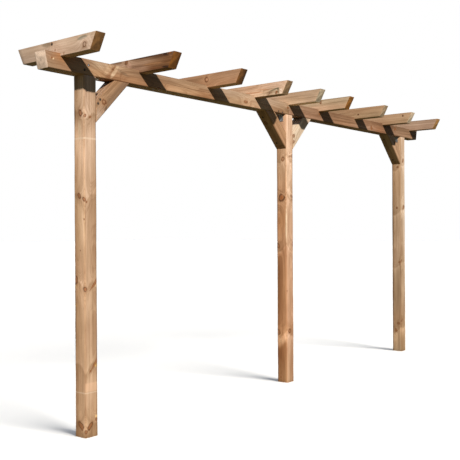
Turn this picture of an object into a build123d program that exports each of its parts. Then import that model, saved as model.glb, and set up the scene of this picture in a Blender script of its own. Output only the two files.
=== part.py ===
from build123d import *
import os

# A free-standing garden pergola: one row of three posts carries a beam, and nine short
# rafters cross the beam. Millimetres, +X along the beam, +Z up. The origin is the middle
# of the middle post's foot, and the front of the pergola looks towards -Y.

# Driving dimensions
POST_SIDE = 90
POST_HEIGHT = 2010
POST_EDGE_RADIUS = 10
LEFT_BAY = 1945              # centre to centre, left post to middle post
RIGHT_BAY = 1870             # centre to centre, middle post to right post
BEAM_HEIGHT = 90
BEAM_OVERHANG = 263          # beyond the outer face of each end post, along the top
BEAM_END_SLOPE = 20          # how much shorter the beam is along its underside
TIMBER_EDGE_RADIUS = 6       # long edges of the beam and braces
RAFTER_WIDTH = 67
RAFTER_HEIGHT = 90
RAFTER_OVERHANG = 286        # beyond each face of the beam, along the top
RAFTER_END_SLOPE = 48        # how much each end draws in towards the underside
RAFTER_NOTCH = 17            # how deep the rafter is let down over the beam
RAFTER_EDGE_RADIUS = 4
RAFTER_CENTRES = [-2118, -1534, -913, -400, 21, 440, 1003, 1505, 2039]
BRACE_LEG = 256              # from the post-beam corner to the brace's outer edge
BRACE_WIDTH = 84
ANGLE_LEG = 50
ANGLE_WIDTH = 38
ANGLE_THICKNESS = 2.5
ANGLE_BEND_RADIUS = 4
ANGLE_HOLE_RADIUS = 2.5
ANGLE_HOLES = [18, 38]       # hole centres along each leg, from the corner

# What follows from them
HALF_POST = POST_SIDE / 2
BEAM_TOP = POST_HEIGHT + BEAM_HEIGHT
RAFTER_UNDERSIDE = BEAM_TOP - RAFTER_NOTCH
BEAM_LEFT_END = -LEFT_BAY - HALF_POST - BEAM_OVERHANG
BEAM_RIGHT_END = RIGHT_BAY + HALF_POST + BEAM_OVERHANG


def post():
    """A planed square post with rounded long edges, standing on z = 0."""
    timber = Box(POST_SIDE, POST_SIDE, POST_HEIGHT, align=(Align.CENTER, Align.CENTER, Align.MIN))
    return fillet(timber.edges().filter_by(Axis.Z), POST_EDGE_RADIUS)


def beam(end, joint):
    """One length of the beam, from its sloped outer end to the square joint over a post."""
    inward = BEAM_END_SLOPE if end < joint else -BEAM_END_SLOPE
    profile = make_face(Polyline(
        (end, BEAM_TOP), (joint, BEAM_TOP), (joint, POST_HEIGHT), (end + inward, POST_HEIGHT), close=True
    ))
    timber = extrude(Plane.XZ * profile, POST_SIDE / 2, both=True)
    return fillet(timber.edges().filter_by(Axis.X), TIMBER_EDGE_RADIUS)


def rafter():
    """A rafter across the beam, both ends sloped, with a notch that drops over the beam."""
    top = HALF_POST + RAFTER_OVERHANG
    bottom = top - RAFTER_END_SLOPE
    profile = make_face(Polyline(
        (-top, RAFTER_HEIGHT), (top, RAFTER_HEIGHT), (bottom, 0), (-bottom, 0), close=True
    ))
    timber = extrude(Plane.YZ * profile, RAFTER_WIDTH / 2, both=True)
    timber = fillet(timber.edges().filter_by(Axis.Y), RAFTER_EDGE_RADIUS)
    notch = Box(RAFTER_WIDTH, POST_SIDE, 2 * RAFTER_NOTCH)
    return Pos(0, 0, RAFTER_UNDERSIDE) * (timber - notch)


def brace():
    """A knee brace at 45 degrees, for a corner with the post at x < 0 and the beam at z > 0."""
    inner_leg = BRACE_LEG - BRACE_WIDTH * 2 ** 0.5
    profile = make_face(Polyline(
        (0, -BRACE_LEG), (0, -inner_leg), (inner_leg, 0), (BRACE_LEG, 0), close=True
    ))
    timber = extrude(Plane.XZ * profile, POST_SIDE / 2, both=True)
    return fillet(timber.edges().filter_by(Axis((0, 0, 0), (1, 0, 1))), TIMBER_EDGE_RADIUS)


def angle_bracket():
    """A pressed steel angle for the same corner, with two screw holes in each leg."""
    section = make_face(Polyline(
        (0, 0), (ANGLE_LEG, 0), (ANGLE_LEG, -ANGLE_THICKNESS), (ANGLE_THICKNESS, -ANGLE_THICKNESS),
        (ANGLE_THICKNESS, -ANGLE_LEG), (0, -ANGLE_LEG), close=True
    ))
    steel = extrude(Plane.XZ * section, ANGLE_WIDTH / 2, both=True)
    bend = steel.edges().filter_by(Axis.Y).sort_by(Axis((0, 0, 0), (-1, 0, 1)))[-1]
    steel = fillet(bend, ANGLE_BEND_RADIUS / 2)
    for along in ANGLE_HOLES:
        drill = Cylinder(ANGLE_HOLE_RADIUS, 4 * ANGLE_THICKNESS)
        steel -= Pos(along, 0, 0) * drill
        steel -= Pos(0, 0, -along) * Rot(0, 90, 0) * drill
    return steel


def in_corner(shape, post_x, side):
    """Places a brace or bracket under the beam at one side of a post: side is +1 or -1."""
    facing = shape if side > 0 else mirror(shape, about=Plane.YZ)
    return Pos(post_x + side * HALF_POST, 0, POST_HEIGHT) * facing


os.makedirs("parts", exist_ok=True)

posts = {"left": -LEFT_BAY, "middle": 0, "right": RIGHT_BAY}
for name, x in posts.items():
    export_step(Pos(x, 0, 0) * post(), f"parts/post_{name}.step")

export_step(beam(BEAM_LEFT_END, 0), "parts/beam_left.step")
export_step(beam(BEAM_RIGHT_END, 0), "parts/beam_right.step")

for number, x in enumerate(RAFTER_CENTRES, start=1):
    export_step(Pos(x, 0, 0) * rafter(), f"parts/rafter_{number}.step")

corners = {
    "left_post": (-LEFT_BAY, 1),
    "middle_left": (0, -1),
    "middle_right": (0, 1),
    "right_post": (RIGHT_BAY, -1),
}
for name, (x, side) in corners.items():
    export_step(in_corner(brace(), x, side), f"parts/brace_{name}.step")
    export_step(in_corner(angle_bracket(), x, side), f"parts/bracket_{name}.step")
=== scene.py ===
import math
import random

import bmesh
import bpy
from mathutils import Matrix, Vector


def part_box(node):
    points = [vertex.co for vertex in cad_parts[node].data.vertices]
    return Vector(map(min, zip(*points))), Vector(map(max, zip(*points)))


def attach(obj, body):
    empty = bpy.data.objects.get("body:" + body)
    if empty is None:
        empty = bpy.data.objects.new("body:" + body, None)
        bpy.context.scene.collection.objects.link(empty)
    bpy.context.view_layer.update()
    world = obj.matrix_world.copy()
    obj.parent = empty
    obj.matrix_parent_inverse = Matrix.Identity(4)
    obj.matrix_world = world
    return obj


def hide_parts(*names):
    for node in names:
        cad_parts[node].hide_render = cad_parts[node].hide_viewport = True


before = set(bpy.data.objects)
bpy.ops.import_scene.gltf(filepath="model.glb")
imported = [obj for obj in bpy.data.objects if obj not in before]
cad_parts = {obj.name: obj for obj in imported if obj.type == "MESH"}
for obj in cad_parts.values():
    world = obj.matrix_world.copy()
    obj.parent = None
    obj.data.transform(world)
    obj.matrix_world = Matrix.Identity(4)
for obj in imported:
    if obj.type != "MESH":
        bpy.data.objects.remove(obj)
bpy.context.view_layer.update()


# ---------------------------------------------------------------- standpoint
# The pergola is seen from the front left at chest height, looking along the row so that
# the nearest post stands large at the left and the rafters step away to the right.
EYE_BESIDE_POST = Vector((-2.795, -3.296, 1.151))
LOOKING_ROUND = math.radians(39.013)      # from the beam's line towards the back
LOOKING_DOWN = math.radians(0.047)
HEAD_TILT = math.radians(-0.295)
LENS = 60.24                              # millimetres, as FRAME_WIDTH is
FRAME_WIDTH = 36

near_low, near_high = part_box("post_left")
forward = Vector((
    math.cos(LOOKING_ROUND) * math.cos(LOOKING_DOWN),
    math.sin(LOOKING_ROUND) * math.cos(LOOKING_DOWN),
    -math.sin(LOOKING_DOWN),
))
level_right = Vector((math.sin(LOOKING_ROUND), -math.cos(LOOKING_ROUND), 0))
level_up = level_right.cross(forward)
frame_right = level_right * math.cos(HEAD_TILT) + level_up * math.sin(HEAD_TILT)
frame_up = level_up * math.cos(HEAD_TILT) - level_right * math.sin(HEAD_TILT)

camera = bpy.data.objects.new("standpoint", bpy.data.cameras.new("standpoint"))
camera.data.sensor_width = FRAME_WIDTH
camera.data.lens = LENS
eye = Vector((near_low.x, near_low.y, 0)) + EYE_BESIDE_POST
aim = Matrix((frame_right, frame_up, -forward)).transposed().to_4x4()
camera.matrix_world = Matrix.Translation(eye) @ aim
bpy.context.collection.objects.link(camera)
bpy.context.scene.camera = camera


# ------------------------------------------------------------ floor and light
# A wide pale floor under a plain white surround. A low key from the front left lights the
# timber, with a weak wide fill from behind. The floor's own soft lights keep it pale.
FLOOR_REACH = 60
FLOOR_PAINT = (0.93, 0.88, 0.75, 1)
FROM_THE_GROUND = (0.16, 0.155, 0.07, 1)
FROM_ABOVE = (0.075, 0.125, 0.225, 1)
HORIZON_BLUR = 0.35                       # how far each side of level the two tones mix

floor_mesh = bpy.data.meshes.new("pale_floor")
floor_mesh.from_pydata(
    [(-FLOOR_REACH, -FLOOR_REACH, 0), (FLOOR_REACH, -FLOOR_REACH, 0),
     (FLOOR_REACH, FLOOR_REACH, 0), (-FLOOR_REACH, FLOOR_REACH, 0)], [], [(0, 1, 2, 3)])
pale_floor = bpy.data.objects.new("pale_floor", floor_mesh)
bpy.context.collection.objects.link(pale_floor)
floor_paint = bpy.data.materials.new("pale_floor_paint")
floor_paint.use_nodes = True
floor_shader = floor_paint.node_tree.nodes["Principled BSDF"]
floor_shader.inputs["Base Color"].default_value = FLOOR_PAINT
floor_shader.inputs["Roughness"].default_value = 0.9
floor_shader.inputs["Specular IOR Level"].default_value = 0.0
floor_mesh.materials.append(floor_paint)
pale_floor.visible_diffuse = False
pale_floor.visible_glossy = False

everything_but_floor = bpy.data.collections.new("everything_but_floor")
everything_but_floor.objects.link(pale_floor)
everything_but_floor.collection_objects[0].light_linking.link_state = "EXCLUDE"
floor_alone = bpy.data.collections.new("floor_alone")
floor_alone.objects.link(pale_floor)


def hang_sun(name, heading, power, softness, tint, lights_only):
    """A distant light travelling along heading; softness is how wide it looks, in degrees."""
    sun = bpy.data.objects.new(name, bpy.data.lights.new(name, "SUN"))
    sun.data.energy = power
    sun.data.angle = math.radians(softness)
    sun.data.color = tint
    sun.rotation_mode = "QUATERNION"
    sun.rotation_quaternion = Vector(heading).to_track_quat("-Z", "Y")
    sun.light_linking.receiver_collection = lights_only
    bpy.context.collection.objects.link(sun)


hang_sun("key", heading=(0.73, 1.0, -0.695), power=5.6, softness=1.6,
         tint=(1, 0.985, 0.96), lights_only=everything_but_floor)
hang_sun("back_fill", heading=(-0.60, -1.0, -0.35), power=1.3, softness=60,
         tint=(0.94, 0.97, 1), lights_only=everything_but_floor)
hang_sun("floor_key", heading=(0.02, 1.0, -0.66), power=5.4, softness=31,
         tint=(0.92, 0.925, 1), lights_only=floor_alone)
hang_sun("floor_fill", heading=(0.0, 0.3, -1.0), power=1.0, softness=120,
         tint=(0.92, 0.925, 1), lights_only=floor_alone)


def add_node(tree, kind, inputs=(), **settings):
    """A shader node with its settings, and each input either joined up or given a value."""
    made = tree.nodes.new(kind)
    for key, value in settings.items():
        setattr(made, key, value)
    for socket, value in dict(inputs).items():
        if isinstance(value, bpy.types.NodeSocket):
            tree.links.new(value, made.inputs[socket])
        else:
            made.inputs[socket].default_value = value
    return made


def blend(tree, factor, first, second, how="MIX"):
    """Two colours blended; returns the colour."""
    # For colours, this node takes its factor at socket 0 and the colours at 6 and 7.
    return add_node(tree, "ShaderNodeMix", [(0, factor), (6, first), (7, second)],
                    data_type="RGBA", blend_type=how).outputs[2]


def between(tree, value, low, high, to_low=0.0, to_high=1.0, how="LINEAR"):
    """Where a value stands from low to high, told as to_low to to_high and held at both."""
    return add_node(tree, "ShaderNodeMapRange", [
        ("Value", value), ("From Min", low), ("From Max", high),
        ("To Min", to_low), ("To Max", to_high)], interpolation_type=how).outputs[0]


surround = bpy.data.worlds.new("white_surround")
bpy.context.scene.world = surround
surround.use_nodes = True
sky = surround.node_tree
sky.nodes.clear()
toward = add_node(sky, "ShaderNodeTexCoord").outputs["Generated"]
rise = add_node(sky, "ShaderNodeSeparateXYZ", [(0, toward)]).outputs["Z"]
glow = blend(sky, between(sky, rise, -HORIZON_BLUR, HORIZON_BLUR), FROM_THE_GROUND, FROM_ABOVE)
soft_light = add_node(sky, "ShaderNodeBackground", [("Color", glow)]).outputs[0]
plain_white = add_node(sky, "ShaderNodeBackground", [("Color", (1, 1, 1, 1))]).outputs[0]
seen = add_node(sky, "ShaderNodeLightPath").outputs["Is Camera Ray"]
shown = add_node(sky, "ShaderNodeMixShader", enumerate((seen, soft_light, plain_white)))
add_node(sky, "ShaderNodeOutputWorld", [(0, shown.outputs[0])])
bpy.context.scene.view_settings.view_transform = "Standard"


# ---------------------------------------------------------------------- posts
# Three square posts of planed, pressure-treated pine, cut with the heart boxed in, so that
# every face shows knots and fine drying checks. They stand straight on the ground.
POST_ARRIS = 0.010
EASED_END = 0.0012            # how far a cut end is eased, along the timber and across it
EASED_MIDDLE = 0.0004         # the easing's middle, as far in from the end as from the face
ARRIS_FACETS = 6
BESIDE_ARRIS = 0.0014         # a narrow strip of each flat face, next to the arris
CLOSED_CHECK = 0.00012        # half the width of a drying check where it is closed
CHECK_DRIFT = 0.0016          # how far a check wanders across its face
CHECK_WAVES = (23, 310)       # how fast it wanders, along the timber and from check to check
CHECK_FULLNESS = 0.6          # below 1, a check stays wide open for most of its length
WEAR_WAVES = ((0.10, 9), (0.07, 31))    # how much an arris varies, and how fast along it
ANY_PHASE = 6.3               # about one turn, in radians
SECTION_SPACING = 0.03        # between the outlines that a timber's mesh is drawn through
FEWEST_SECTIONS = 6
LEAN_REACH = 0.15             # how far into the timber a leaning end is evened out
BESIDE_NOTCH = 0.008          # no other outline comes this near to a notch's wall
HAIR = 1e-7
WELD = 1e-5                   # points closer than this become one
SHARP_TIMBER = 32             # degrees between two faces that make an edge show as sharp


def timber_section(half_wide, half_high, arris, inset, checks, along):
    """The outline of a timber at one place along it, as (y, z) points going round it once.

    A check is (face, across, from, to, depth, width): a drying crack that runs along one
    face (0 under, 1 right, 2 top, 3 left) and opens and closes again between two places.
    """
    outline = []
    corner = arris - inset
    for face in range(4):
        reach, stand_off = (half_wide, half_high) if face % 2 == 0 else (half_high, half_wide)
        reach -= arris
        stand_off -= inset
        line = [(-reach, stand_off), (-reach + BESIDE_ARRIS, stand_off)]
        for _, middle, begins, ends, depth, width in sorted(c for c in checks if c[0] == face):
            part = (along - begins) / (ends - begins)
            opened = math.sin(math.pi * part) ** CHECK_FULLNESS if 0 < part < 1 else 0
            middle += CHECK_DRIFT * math.sin(along * CHECK_WAVES[0] + middle * CHECK_WAVES[1])
            lip = CLOSED_CHECK + width * opened / 2
            line += [(middle - lip, stand_off), (middle, stand_off - depth * opened),
                     (middle + lip, stand_off)]
        line += [(reach - BESIDE_ARRIS, stand_off), (reach, stand_off)]
        for facet in range(1, ARRIS_FACETS):
            angle = math.pi / 2 * facet / ARRIS_FACETS
            line.append((reach + corner * math.sin(angle),
                         stand_off - corner + corner * math.cos(angle)))
        for sideways, out in line:
            outline.append(((sideways, -out), (out, sideways),
                            (-sideways, out), (-out, -sideways))[face])
    return outline


def finish_mesh(shape, name, sharp):
    """Turns a worked shape into a mesh whose edges are sharp from so many degrees."""
    bmesh.ops.recalc_face_normals(shape, faces=shape.faces)
    for face in shape.faces:
        face.smooth = True
    for edge in shape.edges:
        edge.smooth = len(edge.link_faces) == 2 and edge.calc_face_angle(0) < math.radians(sharp)
    mesh = bpy.data.meshes.new(name)
    shape.to_mesh(mesh)
    shape.free()
    return mesh


def saw_timber(name, ends, size, arris, slopes=(0, 0), notch=None, checks=(), seed=0):
    """A planed timber with its grain along X: rounded arrises, eased ends and drying checks.

    ends are where it starts and stops along its middle line, size is (wide, high), and slopes
    say how far each end leans per metre of height. notch is (half length, depth), cut up into
    the underside at the middle. Worn arrises differ a little from place to place.
    """
    worn = random.Random(seed)
    start, stop = ends
    half_wide, half_high = size[0] / 2, size[1] / 2
    lean_reach = min(LEAN_REACH, (stop - start) / 2)
    places = [(start, EASED_END, 0), (start + EASED_MIDDLE, EASED_MIDDLE, 0),
              (start + EASED_END, 0, 0)]
    steps = max(FEWEST_SECTIONS, round((stop - start) / SECTION_SPACING))
    for step in range(1, steps):
        along = start + (stop - start) * step / steps
        if notch and abs(abs(along) - notch[0]) < BESIDE_NOTCH:
            continue
        places.append((along, 0, notch[1] if notch and abs(along) < notch[0] else 0))
    if notch:
        # Two sections at each wall of the notch: its corner, and its roof a hair further in.
        places += [(-notch[0], 0, 0), (-notch[0] + HAIR, 0, notch[1]),
                   (notch[0] - HAIR, 0, notch[1]), (notch[0], 0, 0)]
    places += [(stop - EASED_END, 0, 0), (stop - EASED_MIDDLE, EASED_MIDDLE, 0),
               (stop, EASED_END, 0)]
    places.sort()

    shape = bmesh.new()
    rings = []
    phases = [worn.uniform(0, ANY_PHASE) for _ in WEAR_WAVES]
    for along, inset, raised in places:
        wear = 1
        for (strength, pace), phase in zip(WEAR_WAVES, phases):
            wear += strength * math.sin(along * pace + phase)
        ring = []
        for y, z in timber_section(half_wide, half_high, arris * wear, inset, checks, along):
            leaning = slopes[0] * z * max(0, 1 - (along - start) / lean_reach)
            leaning += slopes[1] * z * max(0, 1 - (stop - along) / lean_reach)
            if raised and z < raised - half_high:
                if abs(y) > half_wide - arris * wear + WELD:
                    y = math.copysign(half_wide, y)
                z = raised - half_high
            ring.append(shape.verts.new((along + leaning, y, z)))
        rings.append(ring)
    for here, there in zip(rings, rings[1:]):
        for i in range(len(here)):
            after = (i + 1) % len(here)
            shape.faces.new((here[i], there[i], there[after], here[after]))
    shape.faces.new(rings[0])
    shape.faces.new(rings[-1])
    bmesh.ops.remove_doubles(shape, verts=shape.verts, dist=WELD)
    piece = bpy.data.objects.new(name, finish_mesh(shape, name, SHARP_TIMBER))
    bpy.context.collection.objects.link(piece)
    return piece


def reckon(tree, operation, *values):
    """A maths node; returns its result."""
    return add_node(tree, "ShaderNodeMath", enumerate(values), operation=operation).outputs[0]


def reckon_place(tree, operation, *values):
    """A vector maths node; returns its vector, or the number where it makes one."""
    made = add_node(tree, "ShaderNodeVectorMath", enumerate(values), operation=operation)
    return made.outputs[1 if operation in ("LENGTH", "DOT_PRODUCT") else 0]


def gather(tree, *parts):
    """Up to three numbers put together as a place or a colour."""
    return add_node(tree, "ShaderNodeCombineXYZ", enumerate(parts)).outputs[0]


def shade_steps(tree, value, stops, how="LINEAR"):
    """A colour ramp over 0..1; stops are (place, colour), in order, where a number is a grey."""
    made = add_node(tree, "ShaderNodeValToRGB", [("Fac", value)])
    ramp = made.color_ramp
    ramp.interpolation = how
    while len(ramp.elements) < len(stops):
        ramp.elements.new(0.5)
    for element, (place, _) in zip(ramp.elements, stops):
        element.position = place
    for element, (_, colour) in zip(ramp.elements, stops):
        if not isinstance(colour, tuple):
            colour = (colour,) * 3
        element.color = colour if len(colour) == 4 else (*colour, 1)
    return made


def tone_steps(tree, value, stops, how="LINEAR"):
    """Tones over 0..1, given halved, because a ramp holds nothing brighter than 1."""
    return shade_steps(tree, value, [(at, tone / 2) for at, tone in stops], how).outputs[0]


def stretched_noise(tree, where, stretch, detail, rough=0.5):
    """Noise drawn out along the grain; stretch is how many waves fit in a metre each way.
    Returns it as a number and as a colour."""
    return add_node(tree, "ShaderNodeTexNoise", [
        ("Vector", reckon_place(tree, "MULTIPLY", where, stretch)), ("Scale", 1.0),
        ("Detail", detail), ("Roughness", rough)]).outputs


def new_group(name, takes, gives):
    """An empty group of nodes; returns it, what it is given, and where its results go."""
    group = bpy.data.node_groups.new(name, "ShaderNodeTree")
    for way, sockets in (("INPUT", takes), ("OUTPUT", gives)):
        for label, kind in sockets.items():
            group.interface.new_socket(label, in_out=way, socket_type="NodeSocket" + kind)
    given = group.nodes.new("NodeGroupInput").outputs
    results = group.nodes.new("NodeGroupOutput").inputs
    return group, given[:len(takes)], results


KNOT_AT_PITH = 0.38           # how thick a knot is at the pith, beside its width at the face
KNOT_THINNEST = 0.04
KNOT_END = 1.15               # how far out it ends, where the pith is 0 and the face 1
KNOT_END_SLOPE = 40.0
KNOT_PUSH = 1.9               # how far it pushes the rings aside, in knot radii
KNOT_PUSH_FADE = 0.16


def make_knot_cone():
    """How far a point is from a knot, in knot radii, and how far the knot pushes the rings
    aside there. A knot is a branch that grows thicker from the pith (z 0) to the face of the
    timber (z 1). A buried one only bends the grain."""
    cone, (place, radius, buried), results = new_group(
        "knot_cone", {"Place": "Vector", "Radius": "Float", "Buried": "Float"},
        {"Distance": "Float", "Push": "Float"})
    aside = reckon_place(cone, "LENGTH", reckon_place(cone, "MULTIPLY", place, (1, 1, 0)))
    outward = add_node(cone, "ShaderNodeSeparateXYZ", [(0, place)]).outputs[2]
    thick = reckon(cone, "MULTIPLY_ADD", outward, 1 - KNOT_AT_PITH, KNOT_AT_PITH)
    thick = reckon(cone, "MAXIMUM", thick, KNOT_THINNEST)
    past_end = reckon(cone, "MAXIMUM", reckon(cone, "SUBTRACT", outward, KNOT_END), 0.0)
    distance = reckon(cone, "DIVIDE", aside, thick)
    distance = reckon(cone, "MULTIPLY_ADD", past_end, KNOT_END_SLOPE, distance)
    fade = reckon(cone, "MULTIPLY_ADD", reckon(
        cone, "MULTIPLY", distance, distance), KNOT_PUSH_FADE, 1.0)
    push = reckon(cone, "DIVIDE", reckon(cone, "MULTIPLY", radius, KNOT_PUSH), fade)
    cone.links.new(reckon(cone, "ADD", distance, buried), results["Distance"])
    cone.links.new(push, results["Push"])
    return cone


LOG_WANDER = 0.030            # how far the rings of a log wander from side to side, at most
LOG_TAPER = 0.006             # how much nearer to the pith a ring lies per metre further up
UNEVEN_YEARS = 2.6            # how many rings a year can be out of step, at most
GOOD_YEARS = 0.37             # how quickly good and bad years follow each other
BAND_WAVES = (0.9, 0.24)      # in a metre along the grain, and in a year across it
# Waves in a metre, along the grain and twice across it, for each kind of figure.
WANDER_WAVES = (1.7, 7, 7)
STREAK_WAVES = (2.6, 120, 120)
PATCH_WAVES = (5.5, 16, 16)
FIBRE_WAVES = (28, 900, 900)
FLECK_WAVES = (60, 1100, 1100)
KNOT_RIM_WAVES = (55, 90, 90)
# How far each kind darkens and lightens the wood.
BAND_TONES = (-0.27, 0.24)
STREAK_TONES = (-0.16, 0.16)
PATCH_TONES = (-0.09, 0.08)
FIBRE_TONES = (-0.05, 0.05)
DARKEST_TONE = 0.25
WARMTH = (1.18, 1.42)         # how much faster green and blue fall than red as wood darkens
SWIRL = (0.003, 0.016)        # how far a knot pushes the rings where the grain begins to swirl
SWIRL_YEARS, SWIRL_BANDS = 0.25, 0.2    # how much stronger they show there
FIGURE_TONES = (1.1, 0.5)     # how much of the tones a strong figure adds, and what none leaves
ONE_YEAR = [(0.0, 0.10), (0.18, 0.0), (0.50, 0.16), (0.82, 0.85), (0.92, 1.0), (1.0, 0.10)]
LATE_WOOD = (0.66, 0.54, 0.45, 1)
RESIN = (0.16, 0.085, 0.040, 1)
RESIN_SHARE = 0.45            # how much a fleck of it covers
KNOT_LOOK_REACH = 2.5         # how far the colours below are spread, in knot radii
KNOT_LOOK = [                 # from its heart outwards; the fourth number is how much it covers
    (0.0, (0.140, 0.044, 0.014, 0.92)), (0.08, (0.290, 0.100, 0.030, 0.86)),
    (0.25, (0.270, 0.092, 0.027, 0.88)), (0.32, (0.100, 0.034, 0.011, 0.92)),
    (0.40, (0.130, 0.047, 0.016, 0.84)), (0.46, (0.230, 0.096, 0.034, 0.52)),
    (0.60, (0.360, 0.180, 0.080, 0.26)), (1.0, (0.450, 0.270, 0.150, 0.0))]
KNOT_HEART = (0.80, 0.55)     # where its heart begins and where it is full, in knot radii
KNOT_RIM = (1.05, 0.85)       # and the same of its smooth wood
KNOT_RAGGED = (0.60, 0.8)     # the least its edge is drawn in, and how much that varies
KNOT_RINGS = 22
KNOT_RING_TONE = 0.15
KNOT_TONE = 0.35
KNOT_PATCH_TONE = 1.25
PLANED_ROUGHNESS = 0.66
LATE_ROUGHER, FIBRE_ROUGHER, KNOT_ROUGHER = -0.10, 0.16, -0.16
LATE_RELIEF, FIBRE_RELIEF, KNOT_RELIEF = 0.30, 0.8, 0.5


def make_pine_grain():
    """The solid figure of pine: growth rings round the pith, pushed aside by the knots, with
    broad soft streaks, fine fibres, resin flecks and the knots' own colour."""
    grain, given, results = new_group(
        "pine_grain", {
            "Place": "Vector", "Knot": "Float", "Push": "Float", "Wood": "Color",
            "Figure": "Float", "Ring": "Float", "Seed": "Float", "Pale Knots": "Float"},
        {"Colour": "Color", "Roughness": "Float", "Height": "Float", "Late": "Float"})
    place, knot, push, wood, figure, ring, seed, pale = given

    # The log is never quite straight: its rings wander a few millimetres either way.
    shifted = reckon_place(grain, "ADD", place, gather(grain, seed))
    wander = stretched_noise(grain, shifted, WANDER_WAVES, 2.5)[1]
    wander = reckon_place(grain, "SUBTRACT", wander, (0.5, 0.5, 0.5))
    wander = reckon_place(grain, "MULTIPLY", wander, (0, LOG_WANDER, LOG_WANDER))
    bent = reckon_place(grain, "ADD", place, wander)
    from_pith = reckon_place(grain, "LENGTH", reckon_place(grain, "MULTIPLY", bent, (0, 1, 1)))
    along = add_node(grain, "ShaderNodeSeparateXYZ", [(0, place)]).outputs[0]
    grown = reckon(grain, "MULTIPLY_ADD", along, LOG_TAPER, from_pith)
    grown = reckon(grain, "ADD", grown, push)

    years = reckon(grain, "DIVIDE", grown, ring)
    uneven = add_node(grain, "ShaderNodeTexNoise", [
        ("W", reckon(grain, "MULTIPLY_ADD", years, GOOD_YEARS, seed)), ("Scale", 1.0),
        ("Detail", 1.0)], noise_dimensions="1D").outputs[0]
    years = reckon(grain, "MULTIPLY_ADD", uneven, UNEVEN_YEARS, years)
    late = shade_steps(grain, reckon(grain, "FRACT", years), ONE_YEAR).outputs[0]
    band_place = gather(grain, reckon(grain, "MULTIPLY", along, BAND_WAVES[0]),
                        reckon(grain, "MULTIPLY", years, BAND_WAVES[1]), seed)
    bands = add_node(grain, "ShaderNodeTexNoise", [
        ("Vector", band_place), ("Scale", 1.0), ("Detail", 3.0), ("Roughness", 0.6)]).outputs[0]
    streaks = stretched_noise(grain, shifted, STREAK_WAVES, 3, 0.65)[0]
    fibres = stretched_noise(grain, shifted, FIBRE_WAVES, 3, 0.6)[0]
    patches = stretched_noise(grain, shifted, PATCH_WAVES, 3, 0.6)[0]

    # Late wood is darker and redder than the spring wood between, and the figure is
    # strongest where the grain swirls round a knot.
    near_knot = between(grain, push, *SWIRL)
    strength = reckon(grain, "MULTIPLY", figure, reckon(
        grain, "MULTIPLY_ADD", near_knot, SWIRL_YEARS, 1.0))
    late_tone = blend(grain, 1.0, wood, LATE_WOOD, "MULTIPLY")
    colour = blend(grain, reckon(grain, "MULTIPLY", late, strength), wood, late_tone)
    swing = reckon(grain, "MULTIPLY_ADD", near_knot, SWIRL_BANDS, 1.0)
    tone = reckon(grain, "MULTIPLY", between(grain, bands, 0.30, 0.70, *BAND_TONES), swing)
    tone = reckon(grain, "ADD", tone, between(grain, streaks, 0.28, 0.72, *STREAK_TONES))
    tone = reckon(grain, "MULTIPLY", tone, reckon(grain, "MULTIPLY_ADD", figure, *FIGURE_TONES))
    tone = reckon(grain, "ADD", tone, reckon(
        grain, "MULTIPLY", between(grain, patches, 0.3, 0.7, *PATCH_TONES), swing))
    tone = reckon(grain, "ADD", tone, between(grain, fibres, 0.3, 0.7, *FIBRE_TONES))
    tone = reckon(grain, "MAXIMUM", reckon(grain, "ADD", tone, 1.0), DARKEST_TONE)
    warm_tone = gather(grain, tone, *[reckon(grain, "POWER", tone, power) for power in WARMTH])
    colour = blend(grain, 1.0, colour, warm_tone, "MULTIPLY")

    # Resin ducts: short thin flecks along the grain.
    flecks = stretched_noise(grain, shifted, FLECK_WAVES, 0)[0]
    colour = blend(grain, between(grain, flecks, 0.70, 0.78, 0, RESIN_SHARE), colour, RESIN)

    # A knot: brown heart, fine rings of its own, a dark bark line and a reddish halo.
    ragged = stretched_noise(grain, shifted, KNOT_RIM_WAVES, 2)[0]
    knot_edge = reckon(grain, "MULTIPLY", knot, reckon(
        grain, "MULTIPLY_ADD", ragged, KNOT_RAGGED[1], KNOT_RAGGED[0]))
    knot_look = shade_steps(
        grain, reckon(grain, "MULTIPLY", knot_edge, 1 / KNOT_LOOK_REACH), KNOT_LOOK)
    knot_rings = reckon(grain, "SINE", reckon(grain, "MULTIPLY", knot_edge, KNOT_RINGS))
    knot_tone = reckon(grain, "MULTIPLY_ADD", knot_rings, KNOT_RING_TONE, KNOT_TONE)
    knot_tone = reckon(grain, "MULTIPLY_ADD", patches, KNOT_PATCH_TONE, knot_tone)
    knot_colour = blend(grain, 1.0, knot_look.outputs[0],
                        gather(grain, knot_tone, knot_tone, knot_tone), "MULTIPLY")
    heart = reckon(grain, "MULTIPLY", between(grain, knot_edge, *KNOT_HEART), pale)
    knot_share = reckon(grain, "MULTIPLY", knot_look.outputs[1],
                        reckon(grain, "SUBTRACT", 1.0, heart))
    colour = blend(grain, knot_share, colour, knot_colour)

    # Late wood and knots are planed smoother than the fibres, and stand a little proud.
    rough = reckon(grain, "MULTIPLY_ADD", late, LATE_ROUGHER, PLANED_ROUGHNESS)
    rough = reckon(grain, "MULTIPLY_ADD", fibres, FIBRE_ROUGHER, rough)
    in_knot = between(grain, knot_edge, *KNOT_RIM)
    rough = reckon(grain, "MULTIPLY_ADD", in_knot, KNOT_ROUGHER, rough)
    height = reckon(grain, "MULTIPLY", fibres, FIBRE_RELIEF)
    height = reckon(grain, "MULTIPLY_ADD", late, LATE_RELIEF, height)
    height = reckon(grain, "MULTIPLY_ADD", in_knot, KNOT_RELIEF, height)
    for socket, value in zip(results, (colour, rough, height, late)):
        grain.links.new(value, socket)
    return grain


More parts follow.
